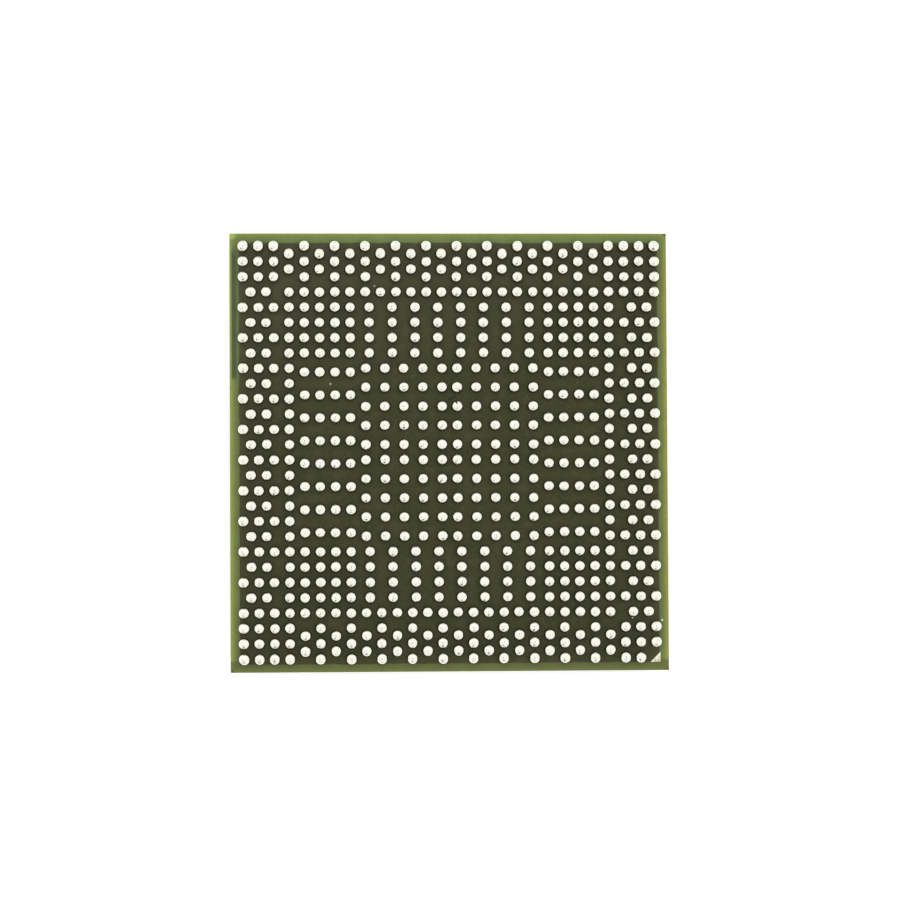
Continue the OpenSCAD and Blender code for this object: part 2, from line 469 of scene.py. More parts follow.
class Graph(Nodes):
    """Builds one material's nodes. Lengths in its patterns are in millimetres."""

    def __init__(self, name: str) -> None:
        """Starts a material with its shader and its coordinates.

        Args:
            name: The material's name.
        """
        self.material = bpy.data.materials.new(name)
        self.material.use_nodes = True
        super().__init__(self.material.node_tree)
        self.shader = self.tree.nodes["Principled BSDF"]
        place = self.add("ShaderNodeTexCoord").outputs["Object"]
        self.place = self.moved(place, scale=(1 / MM,) * 3)
        self.x, self.y, self.z = self.parts(self.place)

    def set(self, **values: Any) -> None:
        """Sets or links the shader's own sockets, named with _ for a space."""
        for key, value in values.items():
            self.feed(self.shader.inputs[key.replace("_", " ")], value)

    def noise(self, per_mm: float, detail: float = 2.0, at: Any = None, roughness: float = 0.5) -> bpy.types.NodeSocket:
        """Soft noise around 0.5.

        Args:
            per_mm: Features in a millimetre.
            detail: Octaves.
            at: Coordinates to read, if not the piece's own.
            roughness: How strong the finer octaves are.

        Returns:
            The noise.
        """
        node = self.add(
            "ShaderNodeTexNoise",
            {"Vector": self.place if at is None else at, "Scale": per_mm, "Detail": detail, "Roughness": roughness},
        )
        return node.outputs["Fac"]

    def bump(self, height: bpy.types.NodeSocket, rise: float, onto: Any = None) -> bpy.types.NodeSocket:
        """Turns a height from 0 to 1 into a bent normal.

        Args:
            height: The height.
            rise: What a height of 1 stands for, in millimetres.
            onto: A normal that is bent already.

        Returns:
            The normal.
        """
        sockets = {"Height": height, "Distance": rise * MM}
        if onto is not None:
            sockets["Normal"] = onto
        return self.add("ShaderNodeBump", sockets).outputs["Normal"]

    def spot(self, centre: Point, radius: float) -> bpy.types.NodeSocket:
        """1 inside a small round spot seen from above, 0 outside."""
        offset = self.moved(self.place, by=(*centre, 0), scale=(1, 1, 0))
        away = self.length(offset)
        return self.ramp(away, radius, radius / 2)

    def streak(self, start: Point, end: Point, width: float) -> bpy.types.NodeSocket:
        """1 along a straight scratch seen from above, 0 away from it.

        Args:
            start: One end of it.
            end: The other end.
            width: Its width.

        Returns:
            The share.
        """
        run, rise = end[0] - start[0], end[1] - start[1]
        middle = ((start[0] + end[0]) / 2, (start[1] + end[1]) / 2, 0)
        local = self.moved(self.place, by=middle, turn=-math.degrees(math.atan2(rise, run)))
        along, across, _ = self.parts(local)
        half = math.hypot(run, rise) / 2
        inside = self.ramp(self.absolute(along), half, half * 0.7)
        return self.times(inside, self.ramp(self.absolute(across), width, width / 3))


# ---------------------------------------------------------------- finishes


class MaskSide(Enum):
    """Which side of the package a solder mask is on."""

    BALL = "ball_side"
    DIE = "die_side"


@dataclass(frozen=True)
class MaskFinish:
    """Dark olive solder mask over copper, and lighter green where only laminate lies under it."""

    side: MaskSide
    half: float
    plane_half: float
    over_copper: Colour = tone(67, 65, 27)
    over_copper_warm: Colour = tone(79, 75, 50)
    over_copper_cool: Colour = tone(56, 65, 26)
    # painted light: lighter tone for the side towards the lamp
    over_copper_grey: Colour = tone(73, 73, 42)
    over_copper_painted_lamp_light: Colour = tone(92, 93, 64)
    border_inner: Colour = tone(108, 117, 69)
    border_middle: Colour = tone(119, 132, 68)
    border_outer: Colour = tone(134, 148, 72)
    border_rim: Colour = tone(153, 161, 78)
    sawn_rim: Colour = tone(160, 153, 66)
    border_dull: Colour = tone(92, 99, 54)
    border_fresh: Colour = tone(118, 140, 76)
    bright_corner: Colour = tone(184, 198, 96)
    chipped_corner: Colour = tone(112, 78, 28)
    worn_strip: Colour = tone(84, 94, 56)
    pale_line: Colour = tone(105, 115, 78)
    speck: Colour = tone(248, 249, 228)
    scratch: Colour = tone(30, 30, 14)
    plane_shift: float = 0.07

    def make(self) -> bpy.types.Material:
        """Builds the material."""
        g = Graph(f"{self.side.value}_solder_mask")
        fine = g.noise(6, 3)
        wobble = g.times(g.minus(g.noise(1.5), 0.5), 0.1)
        far = g.larger(g.absolute(g.x), g.absolute(g.y))
        edge = g.minus(self.half, g.plus(far, wobble))
        lower = g.minus(g.times(g.y, -1), self.plane_shift if self.side is MaskSide.BALL else 0)
        out = g.larger(g.absolute(g.x), g.larger(g.y, lower))
        bare = g.ramp(g.plus(out, wobble), self.plane_half - 0.03, self.plane_half + 0.05)
        border = self.over_laminate(g, edge, fine)
        if self.side is MaskSide.BALL:
            border = self.worn_border(g, border)
        colour = g.mix(bare, self.over_plane(g, fine), border)
        if self.side is MaskSide.BALL:
            colour = self.scuffs(g, colour)
        peel = g.bump(g.noise(2.5, 2), 0.0012)
        g.set(
            Base_Color=colour,
            Roughness=g.ramp(fine, 0.3, 0.7, 0.3, 0.42),
            Specular_IOR_Level=0.25,
            Normal=g.bump(g.noise(30, 2), 0.0003, onto=peel),
        )
        return g.material

    def over_plane(self, g: Graph, fine: bpy.types.NodeSocket) -> bpy.types.NodeSocket:
        """The mottled colour over the copper plane, warmer towards +Y and the sides, with painted light lightening it
        towards +Y and -X, where the lamp hangs.

        Args:
            g: The material's graph.
            fine: Fine noise.

        Returns:
            The colour.
        """
        colour = g.mix(g.ramp(g.noise(1.1, 3), 0.42, 0.62), self.over_copper, self.over_copper_cool)
        colour = g.mix(g.ramp(g.noise(1.9, 2, at=g.moved(g.place, by=(40, 0, 0))), 0.5, 0.66),
                       colour, self.over_copper_grey)
        # painted light: the plane lightens towards +Y and -X, where the lamp hangs
        across = g.minus(g.y, g.times(g.x, 0.5))
        colour = g.mix(g.ramp(across, self.half * 0.2, self.half * 1.5, 0, 0.45), colour, self.over_copper_painted_lamp_light)
        top = g.ramp(g.y, self.half * 0.3, self.half, 0, 0.6)
        sides = g.ramp(g.absolute(g.x), self.half * 0.7, self.half, 0, 0.5)
        patchy = g.ramp(g.noise(0.5, 2), 0.3, 0.6, 0.35, 1)
        colour = g.mix(g.times(g.larger(top, sides), patchy), colour, self.over_copper_warm)
        return g.mix(g.ramp(fine, 0.45, 0.66, 0, 0.7), colour, self.over_copper_grey)

    def over_laminate(self, g: Graph, edge: bpy.types.NodeSocket, fine: bpy.types.NodeSocket) -> bpy.types.NodeSocket:
        """The colour over the bare border, lighter outwards.

        Args:
            g: The material's graph.
            edge: Distance from the edge of the package.
            fine: Fine noise.

        Returns:
            The colour.
        """
        colour = g.shades(edge, {
            0.0: self.border_rim, 0.08: self.border_rim, 0.15: self.border_outer,
            0.28: self.border_middle, 0.45: self.border_inner, 0.6: self.border_inner})
        far_side = g.times(g.ramp(g.y, self.half - 0.12, self.half - 0.05), g.ramp(g.x, -6, 0, 0.1, 0.7))
        sawn = g.larger(g.ramp(g.x, self.half - 0.2, self.half - 0.05, 0, 0.9), far_side)
        colour = g.mix(sawn, colour, self.sawn_rim)
        dull = g.ramp(g.y, 0.15 - self.plane_half, -self.plane_half, 0, 0.72)
        colour = g.mix(dull, colour, self.border_dull)
        fresh = g.times(g.ramp(g.y, self.plane_half - 0.15, self.plane_half, 0, 0.6), g.ramp(edge, 0, 0.1))
        colour = g.mix(fresh, colour, self.border_fresh)
        return g.mix(g.ramp(fine, 0.45, 0.7, 0, 0.3), colour, self.border_inner)

    def worn_border(self, g: Graph, colour: bpy.types.NodeSocket) -> bpy.types.NodeSocket:
        """Adds the darker strip along -X, with its pale line, and the corners' own marks.

        Args:
            g: The material's graph.
            colour: The clean colour.

        Returns:
            The colour with the wear on it.
        """
        beyond = g.times(g.ramp(g.y, 3.7, 4.0), g.ramp(g.y, 11.0, 10.3))
        across = g.plus(g.x, self.half)
        strip = g.times(g.ramp(across, 0.07, 0.14), g.ramp(across, 0.42, 0.3))
        colour = g.mix(g.times(strip, beyond), colour, self.worn_strip)
        line = g.times(g.ramp(across, 0.32, 0.38), g.ramp(across, 0.47, 0.42))
        colour = g.mix(g.times(line, beyond), colour, self.pale_line)
        rim = self.half - 0.03
        colour = g.mix(g.times(g.spot((-rim, rim), 0.4), 0.7), colour, self.bright_corner)
        for place in ((rim, rim), (rim, -rim), (-rim, -rim)):
            colour = g.mix(g.times(g.spot(place, 0.16), 0.8), colour, self.chipped_corner)
        return colour

    def scuffs(self, g: Graph, colour: bpy.types.NodeSocket) -> bpy.types.NodeSocket:
        """Adds dust and scratches to the ball side.

        Args:
            g: The material's graph.
            colour: The clean colour.

        Returns:
            The colour with the wear on it.
        """
        for place, level in (((-6.23, 3.59), 0.5), ((-3.9, 8.74), 0.4), ((11.16, -8.87), 1), ((9.6, -8.72), 0.9)):
            colour = g.mix(g.times(g.spot(place, 0.07), level), colour, self.speck)
        for start, end, width in (((-0.12, 2.72), (0.38, 2.95), 0.05), ((0.94, 0.34), (0.94, -0.19), 0.03)):
            colour = g.mix(g.times(g.streak(start, end, width), 0.8), colour, self.scratch)
        grains = g.add("ShaderNodeTexVoronoi", {"Vector": g.place, "Scale": 1.6})
        dusty = g.times(g.ramp(grains.outputs["Distance"], 0.07, 0.03),
                       g.ramp(g.parts(grains.outputs["Color"])[0], 0.7, 0.9, 0, 0.2))
        return g.mix(dusty, colour, self.speck)


@dataclass(frozen=True)
class BallFinish:
    """Bright solder with dents. Each crown carries a painted reflection of the camera, grey smears and a dark dot
    placed a little differently on each ball, and a painted shade round its rim.
    """

    ball_d: float
    clean: Colour = tone(254, 254, 241)
    # painted reflection: the grey of the camera's reflection, bent by the crown into smears
    reflected_camera_grey: Colour = tone(184, 185, 168)
    # painted reflection: the dark dot low on each crown, where the camera lens is reflected
    mark: Colour = tone(40, 42, 26)
    # painted shade: the dim ring round each ball's rim as seen from above
    painted_rim_shade: Colour = tone(150, 151, 136)
    painted_rim_shade_from: float = 0.82
    reflected_ring_radius: float = 0.1

    def make(self) -> bpy.types.Material:
        """Builds the material."""
        g = Graph("solder_ball")
        seed = g.add("ShaderNodeAttribute", attribute_name="ball_seed").outputs["Fac"]
        chance = g.add("ShaderNodeTexWhiteNoise", {"W": seed}, noise_dimensions="1D")
        first, second, third = g.parts(chance.outputs["Color"])
        crown = g.add("ShaderNodeUVMap", uv_map="crown").outputs["UV"]
        crown = g.moved(crown, by=(0.5, 0.5, 0), scale=(self.ball_d, self.ball_d, 0))
        away = g.length(crown)
        turned = g.add("ShaderNodeVectorRotate", {"Vector": crown, "Angle": g.ramp(third, 0, 1, -0.3, 0.3)},
                       rotation_type="Z_AXIS").outputs[0]
        hand = self.unsteady(g, turned)

        # The squiggles, streak, broken ring and hook below are painted reflections of the camera. The dot after them is
        # the painted reflection of its lens.
        lines = g.absolute(g.minus(g.noise(9, 2), 0.5))
        colour = g.mix(g.ramp(lines, 0.02, 0.0, 0, 0.25), self.clean, self.reflected_camera_grey)
        stem = self.dab(g, hand, (-0.015, -0.01), (0.026, 0.09), g.ramp(first, 0.0, 0.9, 0.05, 0.85))
        colour = g.mix(stem, colour, self.reflected_camera_grey)
        reach = g.length(hand)
        ring = g.ramp(g.absolute(g.minus(reach, self.reflected_ring_radius)), 0.024, 0.006)
        side = g.plus(*g.parts(hand)[:2])
        broken = g.times(g.ramp(g.noise(6, 1), 0.45, 0.62), g.ramp(side, 0.02, -0.06, 0, 0.7))
        colour = g.mix(g.times(ring, broken), colour, self.reflected_camera_grey)
        hook = self.dab(g, hand, (-0.055, -0.14), (0.085, 0.034), g.ramp(third, 1, 0.1, 0, 1))
        colour = g.mix(hook, colour, self.reflected_camera_grey)
        dot = self.dab(g, hand, (-0.05, -0.15), (0.058, 0.036), g.ramp(second, 0.4, 0.8))
        colour = g.mix(dot, colour, self.mark)
        # painted shade: darkens the outer part of each ball seen from above into a dark rim
        rim = self.painted_rim_shade_from * self.ball_d / 2
        colour = g.mix(g.ramp(away, rim, rim * 1.08), colour, self.painted_rim_shade)
        dents = g.bump(g.noise(5.0, 1), 0.012)
        g.set(
            Base_Color=colour,
            Metallic=1.0,
            Roughness=g.ramp(g.noise(8), 0.3, 0.7, 0.07, 0.16),
            Normal=g.bump(g.noise(22, 2), 0.0005, onto=dents),
        )
        return g.material

    def unsteady(self, g: Graph, crown: bpy.types.NodeSocket) -> bpy.types.NodeSocket:
        """Bends the crown's coordinates, in another way on each ball."""
        noise = g.add("ShaderNodeTexNoise", {"Vector": g.place, "Scale": 7.0, "Detail": 1.0})
        bend = g.add("ShaderNodeVectorMath", {0: noise.outputs["Color"], 1: (0.5, 0.5, 0.5)}, operation="SUBTRACT")
        return g.add(
            "ShaderNodeVectorMath", {0: crown, 1: g.moved(bend.outputs[0], scale=(0.14, 0.14, 0))}, operation="ADD"
        ).outputs[0]

    def dab(
        self, g: Graph, crown: bpy.types.NodeSocket, centre: Point, radii: Point, share: bpy.types.NodeSocket
    ) -> bpy.types.NodeSocket:
        """A blurred oval on the crown.

        Args:
            g: The material's graph.
            crown: Coordinates around the crown's middle.
            centre: The oval's middle.
            radii: Its radii along X and Y.
            share: How strong it is.

        Returns:
            The share of the oval at each place.
        """
        local = g.moved(crown, by=(*centre, 0), scale=(1 / radii[0], 1 / radii[1], 0))
        away = g.length(local)
        return g.times(g.ramp(away, 1.15, 0.45), share)


@dataclass(frozen=True)
class MetalFinish:
    """A metal with a cast of its own, tarnished in patches and rough at a fine scale."""

    name: str
    bright: Colour
    tarnish: Colour
    smoothest: float
    roughest: float
    patches_per_mm: float = 3.0
    grain_per_mm: float = 25.0
    rise: float = 0.0008

    def make(self) -> bpy.types.Material:
        """Builds the material."""
        g = Graph(self.name)
        patches = g.noise(self.patches_per_mm, 3)
        g.set(
            Base_Color=g.mix(g.ramp(patches, 0.45, 0.72), self.bright, self.tarnish),
            Metallic=1.0,
            Roughness=g.ramp(patches, 0.3, 0.7, self.smoothest, self.roughest),
            Normal=g.bump(g.noise(self.grain_per_mm, 2), self.rise),
        )
        return g.material


@dataclass(frozen=True)
class MarkFinish:
    """Pale gold plate of the pin one mark, worn and specked towards its right-angled corner."""

    mark: Box
    bright: Colour = tone(255, 254, 236)
    worn: Colour = tone(196, 188, 138)
    pit: Colour = tone(70, 60, 30)

    def make(self) -> bpy.types.Material:
        """Builds the material."""
        g = Graph("mark_gold")
        low, high = self.mark.low, self.mark.high
        leg = self.mark.size.x
        near = g.minus(g.minus(g.x, high.x), g.minus(g.y, low.y))
        patches = g.noise(5, 3)
        wear = g.plus(g.ramp(near, -leg, -leg * 0.15, 0, 0.8), g.ramp(patches, 0.5, 0.7, 0, 0.5))
        colour = g.mix(wear, self.bright, self.worn)
        pits = g.times(g.ramp(g.noise(9, 1), 0.62, 0.68), g.ramp(near, -leg, -leg * 0.3))
        g.set(
            Base_Color=g.mix(pits, colour, self.pit),
            Metallic=1.0,
            Roughness=g.ramp(patches, 0.3, 0.7, 0.2, 0.34),
            Normal=g.bump(g.noise(14, 2), 0.0012),
        )
        return g.material


@dataclass(frozen=True)
class LaminateFinish:
    """Glass-epoxy sawn through: plies of glass bundles in yellowish resin, with saw marks."""

    resin: Colour = tone(158, 149, 72)
    bundle: Colour = tone(196, 188, 126)
    ply_line: Colour = tone(112, 104, 44)
    ply: float = 0.1

    def make(self) -> bpy.types.Material:
        """Builds the material."""
        g = Graph("glass_epoxy_edge")
        turn = 2 * math.pi / self.ply
        level = g.plus(g.z, g.times(g.noise(0.8), 0.03))
        wave = g.math("SINE", g.times(level, turn))
        bundles = g.noise(1, 1, at=g.moved(g.place, scale=(2.4, 2.4, 9)))
        fibres = g.noise(1, 2, at=g.moved(g.place, scale=(5, 5, 60)))
        colour = g.mix(g.ramp(bundles, 0.42, 0.6, 0, 0.75), self.resin, self.bundle)
        colour = g.mix(g.ramp(wave, 0.55, 1, 0, 0.6), colour, self.ply_line)
        colour = g.mix(g.ramp(fibres, 0.35, 0.7, 0, 0.35), colour, self.bundle)
        saw = g.bump(g.noise(1, 2, at=g.moved(g.place, scale=(28, 28, 3))), 0.004)
        g.set(
            Base_Color=colour,
            Roughness=g.ramp(fibres, 0.3, 0.7, 0.5, 0.7),
            Specular_IOR_Level=0.35,
            Normal=g.bump(fibres, 0.003, onto=saw),
        )
        return g.material


@dataclass(frozen=True)
class ResinFinish:
    """A filled resin with fine specks of filler and a soft gloss."""

    name: str
    base: Colour
    speck: Colour
    smoothest: float
    roughest: float
    filler_per_mm: float = 18.0
    rise: float = 0.0015

    def make(self) -> bpy.types.Material:
        """Builds the material."""
        g = Graph(self.name)
        filler = g.noise(self.filler_per_mm, 2)
        g.set(
            Base_Color=g.mix(g.ramp(filler, 0.5, 0.72, 0, 0.6), self.base, self.speck),
            Roughness=g.ramp(g.noise(2, 3), 0.3, 0.7, self.smoothest, self.roughest),
            Normal=g.bump(filler, self.rise),
        )
        return g.material


@dataclass(frozen=True)
class SiliconFinish:
    """The ground back of a die: grey-blue and mirror-like under fine arcs of grinding."""

    ground: Colour = tone(150, 154, 164)
    shade: Colour = tone(126, 130, 142)
    wheel_centre: Point = (31.0, 22.0)

    def make(self) -> bpy.types.Material:
        """Builds the material."""
        g = Graph("ground_silicon")
        swirl = g.moved(g.place, by=(*self.wheel_centre, 0), scale=(1, 1, 0))
        away = g.length(swirl)
        rings = g.add("ShaderNodeCombineXYZ", {0: away}).outputs[0]
        arcs = g.noise(26, 3, at=rings)
        g.set(
            Base_Color=g.mix(g.ramp(g.noise(0.5, 2), 0.35, 0.65, 0, 0.5), self.ground, self.shade),
            Metallic=1.0,
            Roughness=g.ramp(arcs, 0.3, 0.7, 0.14, 0.3),
            Normal=g.bump(arcs, 0.0006),
        )
        return g.material


# ---------------------------------------------------------------- sub-assemblies


@dataclass(frozen=True)
class Nick:
    """A cut that a tool left in the side of one ball, near its crown."""

    place: Point
    bearing: float
    depth: float = 0.05
    reach: float = 0.06


@dataclass
class BallField:
    """The solder balls: one model, copied to every place of every zone."""

    zones: tuple[str, ...]
    mask: Box
    segments: int = 12
    rings: int = 8
    crown_power: float = 2.8
    seed: int = 631
    wander: float = 0.006
    swell: float = 0.015
    nicks: tuple[Nick, ...] = (Nick((0.4, 3.4), -65), Nick((0.4, 2.4), 105))
    radius: float = field(init=False)
    foot_radius: float = field(init=False)
    foot: float = field(init=False)
    tip: float = field(init=False)

    def __post_init__(self) -> None:
        """Reads a ball's sizes from the first zone."""
        zone = self.zones[0]
        places = ball_places(zone)
        last = max(place[0] for place in places)
        points = node_points(zone)
        self.foot, self.tip = points[:, 2].min(), points[:, 2].max()
        self.radius = points[:, 0].max() - last
        self.foot_radius = points[points[:, 2] < self.foot + 0.001, 0].max() - last

    def model(self, segments: int, rings: int) -> bpy.types.Object:
        """Models one ball on the mask, at the origin of X and Y, with its foot in the opening.

        Args:
            segments: Faces round the ball.
            rings: Rings of a whole ball, of which those above the mask are kept.

        Returns:
            The model.
        """
        seat = self.mask.high.z
        centre = Vector((0, 0, self.tip - self.radius))
        stand_clear()
        bpy.ops.mesh.primitive_uv_sphere_add(
            segments=segments, ring_count=rings, radius=self.radius, location=centre)
        settle()
        ball = bpy.context.object
        bpy.ops.object.mode_set(mode="EDIT")
        bpy.ops.mesh.select_all(action="SELECT")
        bpy.ops.mesh.bisect(plane_co=(0, 0, seat), plane_no=(0, 0, 1), clear_inner=True)
        rim = math.sqrt(self.radius**2 - (centre.z - seat) ** 2)
        narrow = self.foot_radius / rim
        bpy.ops.transform.resize(value=(narrow, narrow, 1), center_override=(0, 0, seat))
        bpy.ops.mesh.extrude_edges_move(
            TRANSFORM_OT_translate={"value": (0, 0, self.foot - seat)})
        bpy.ops.mesh.edge_face_add()
        face_outwards()
        self.flatten_crown(ball, centre.z)
        return ball

    def flatten_crown(self, ball: bpy.types.Object, middle: float) -> None:
        """Fills out the upper half of a ball, so that its crown is a little flatter than a sphere's.

        Args:
            ball: The ball, at the origin of X and Y.
            middle: Height of the ball's middle.
        """
        for vert in ball.data.vertices:
            if vert.co.z > middle:
                spread = min(math.hypot(vert.co.x, vert.co.y) / self.radius, 1)
                vert.co.z = middle + self.radius * (1 - spread**self.crown_power) ** (1 / self.crown_power)

    def nicked(self, nick: Nick) -> bpy.types.Object:
        """Models a ball with finer faces and a cut in its side.

        Args:
            nick: The cut.

        Returns:
            The model.
        """
        ball = self.model(self.segments * 2, self.rings * 2)
        bearing = math.radians(nick.bearing)
        outward = Vector((math.cos(bearing), math.sin(bearing), 0))
        lowest = self.mask.high.z + self.radius * 0.4
        bpy.ops.object.mode_set(mode="EDIT")

        def in_cut(vert: bmesh.types.BMVert) -> bool:
            """Whether a vertex lies in the cut."""
            ahead = vert.co.x * outward.x + vert.co.y * outward.y
            aside = abs(vert.co.x * outward.y - vert.co.y * outward.x)
            return ahead > self.radius * 0.5 and aside < nick.reach / 2 and vert.co.z > lowest

        pick(Element.VERT, in_cut)
        bpy.ops.transform.translate(value=(*(-outward.xy * nick.depth), -nick.depth))
        bpy.ops.object.mode_set(mode="OBJECT")
        return ball

    def mark(self, ball: bpy.types.Object, seed: float) -> None:
        """Gives a ball, still at the origin, its crown map and its own seed.

        Args:
            ball: The ball.
            seed: A number of its own.
        """
        mesh = ball.data
        loop_verts = np.empty(len(mesh.loops), dtype=np.int32)
        mesh.loops.foreach_get("vertex_index", loop_verts)
        flat = mesh_points(mesh)[loop_verts, :2] / (2 * self.radius) + 0.5
        crown = mesh.uv_layers.get("crown") or mesh.uv_layers.new(name="crown")
        crown.uv.foreach_set("vector", flat.astype(np.float32).ravel())
        seeds = mesh.attributes.new("ball_seed", "FLOAT", "POINT")
        seeds.data.foreach_set("value", np.full(len(mesh.vertices), seed, dtype=np.float32))

    def build(self) -> None:
        """Builds each zone's balls as one piece."""
        chance = random.Random(self.seed)
        finish = BallFinish(2 * self.radius).make()
        model = self.model(self.segments, self.rings)
        for layer in list(model.data.uv_layers):
            model.data.uv_layers.remove(layer)
        cut = {nick.place: self.nicked(nick) for nick in self.nicks}
        for zone in self.zones:
            balls = []
            for place in ball_places(zone):
                source = next((cut[p] for p in cut if math.dist(p, place) < self.radius), model)
                turn = 0 if source is not model else chance.uniform(0, math.tau)
                swell = [1 + chance.gauss(0, self.swell) for _ in range(2)]
                shift = [chance.gauss(0, self.wander) for _ in range(2)]
                shape = Matrix.Diagonal((*swell, 1, 1)) @ Matrix.Rotation(turn, 4, "Z")
                ball = copy_of(source, shape)
                self.mark(ball, chance.random())
                ball.data.transform(Matrix.Translation((place[0] + shift[0], place[1] + shift[1], 0)))
                balls.append(ball)
            piece = joined(balls)
            finish_piece(piece, f"{zone}_reflowed", finish, [zone], smooth_below=60)
        for source in (model, *cut.values()):
            discard(source)


@dataclass
class BallSideMask:
    """The solder mask of the ball side, cut open over each pad and over the pin one mark."""

    zones: tuple[str, ...]
    finish: bpy.types.Material
    opening_radius: float
    mask: Box
    plane: Box
    mark: Box
    segments: int = 20
    mark_lap: float = 0.05

    def build(self) -> bpy.types.Object:
        """Models the mask and cuts it.

        Returns:
            The finished piece.
        """
        sheet = block(self.mask)
        relief = Box(Vector((*self.plane.low.xy, self.mask.low.z - OVERCUT)), self.plane.high)
        cut_away(sheet, block(relief))
        cut_away(sheet, self.mark_cutter())
        cut_away(sheet, self.opening_cutter())
        return finish_piece(sheet, "ball_side_mask_sheet", self.finish, ["ball_side_mask"])

    def opening_cutter(self) -> bpy.types.Object:
        """Models a plug for every opening, as one cutter."""
        stand_clear()
        bpy.ops.mesh.primitive_cylinder_add(
            vertices=self.segments, radius=self.opening_radius, depth=self.mask.size.z * 4,
            location=(0, 0, self.mask.centre.z))
        settle()
        model = bpy.context.object
        plugs = [
            copy_of(model, Matrix.Translation((*place, 0)))
            for zone in self.zones for place in ball_places(zone)
        ]
        discard(model)
        return joined(plugs)

    def mark_cutter(self) -> bpy.types.Object:
        """Models a three-cornered plug for the bare mark, its right angle towards +X and -Y."""
        low, high = self.mark.low, self.mark.high
        leg = self.mark.size.x - self.mark_lap * (2 + math.sqrt(2))
        corner = Vector((high.x - self.mark_lap, low.y + self.mark_lap, 0))
        box = Box(Vector((corner.x - leg, corner.y, self.mask.low.z - OVERCUT)),
                  Vector((corner.x, corner.y + leg, self.mask.high.z + OVERCUT)))
        plug = block(box)
        bpy.ops.object.mode_set(mode="EDIT")
        bpy.ops.mesh.select_all(action="SELECT")
        bpy.ops.mesh.bisect(plane_co=box.centre, plane_no=(-1, 1, 0), use_fill=True, clear_outer=True)
        bpy.ops.object.mode_set(mode="OBJECT")
        return plug


@dataclass
class Die:
    """The silicon die: ground back, sawn sides and a finer step left by the second saw pass."""

    finish: bpy.types.Material
    box: Box
    step: float = 0.02
    step_share: float = 0.45

    def build(self) -> bpy.types.Object:
        """Models the die.

        Returns:
            The finished piece.
        """
        die = block(self.box)
        bpy.ops.object.mode_set(mode="EDIT")
        pick(Element.FACE, lambda face: face.normal.z < -0.9)
        bpy.ops.mesh.inset(thickness=self.step)
        bpy.ops.object.mode_set(mode="OBJECT")
        for vert in die.data.vertices:
            if self.on_back_rim(vert.co):
                vert.co.z = self.box.low.z
            elif vert.co.z < self.box.centre.z:
                vert.co.z = self.box.low.z + self.box.size.z * self.step_share
        round_edges(die, 0.006, 2)
        return finish_piece(die, "ground_die", self.finish, ["die"])

    def on_back_rim(self, point: Vector) -> bool:
        """Whether a point lies on the inset rim of the back."""
        return abs(point.x) < self.box.high.x - self.step / 2 and point.z < self.box.centre.z


@dataclass
class Underfill:
    """The cured underfill: a thin layer under the die and a hollow skirt round it."""

    finish: bpy.types.Material
    box: Box
    die: Box
    steps: int = 9
    side_cuts: int = 14
    corner_share: float = 0.96
    lip: float = 0.004
    hollow: float = 1.7
    inset_share: float = 0.995
    ripple: float = 0.07
    seed: int = 7

    def build(self) -> bpy.types.Object:
        """Models the skirt by insets from its foot up the sides of the die.

        Returns:
            The finished piece.
        """
        reach = self.box.high.x - self.die.high.x
        climb = self.box.size.z
        top = self.box.high.z
        stand_clear()
        bpy.ops.mesh.primitive_plane_add(size=1, location=(0, 0, top), rotation=(math.pi, 0, 0))
        skirt = bpy.context.object
        skirt.scale = (self.box.size.x, self.box.size.y, 1)
        settle()
        bpy.ops.object.mode_set(mode="EDIT")
        bpy.ops.mesh.select_mode(type="VERT")
        bpy.ops.mesh.select_all(action="SELECT")
        bpy.ops.mesh.bevel(offset=reach * self.corner_share, segments=8, affect="VERTICES")
        pick(Element.FACE, lambda face: True)
        bpy.ops.mesh.extrude_region_move(TRANSFORM_OT_translate={"value": (0, 0, -self.lip)})
        done = self.lip
        for step in range(1, self.steps + 1):
            height = climb * (step / self.steps) ** self.hollow
            bpy.ops.mesh.inset(thickness=reach / self.steps * self.inset_share, depth=height - done)
            done = height
        bpy.ops.mesh.extrude_region_move(
            TRANSFORM_OT_translate={"value": (0, 0, self.die.high.z - (top - climb))})
        pick(Element.EDGE, lambda edge: edge.calc_length() > reach * 2)
        bpy.ops.mesh.subdivide(number_cuts=self.side_cuts)
        face_outwards()
        self.ripple_foot(skirt, reach)
        return finish_piece(skirt, "underfill_skirt", self.finish, ["underfill"], smooth_below=50)

    def ripple_foot(self, skirt: bpy.types.Object, reach: float) -> None:
        """Draws the foot of the skirt in and out, as it flowed.

        Args:
            skirt: The model.
            reach: How far the foot stands out from the die.
        """
        chance = random.Random(self.seed)
        phases = [chance.uniform(0, math.tau) for _ in range(4)]
        for vert in skirt.data.vertices:
            x, y = vert.co.x, vert.co.y
            out = max(abs(x) - self.die.high.x, abs(y) - self.die.high.y)
            share = min(max(out / reach, 0.0), 1.0)
            angle = math.atan2(y, x)
            draw = sum(math.sin(angle * (3 + 4 * k) + phase) / (k + 1) for k, phase in enumerate(phases))
            pull = 1 - self.ripple * share**2 * (1 + draw / 2) / 6
            vert.co.x, vert.co.y = x * pull, y * pull


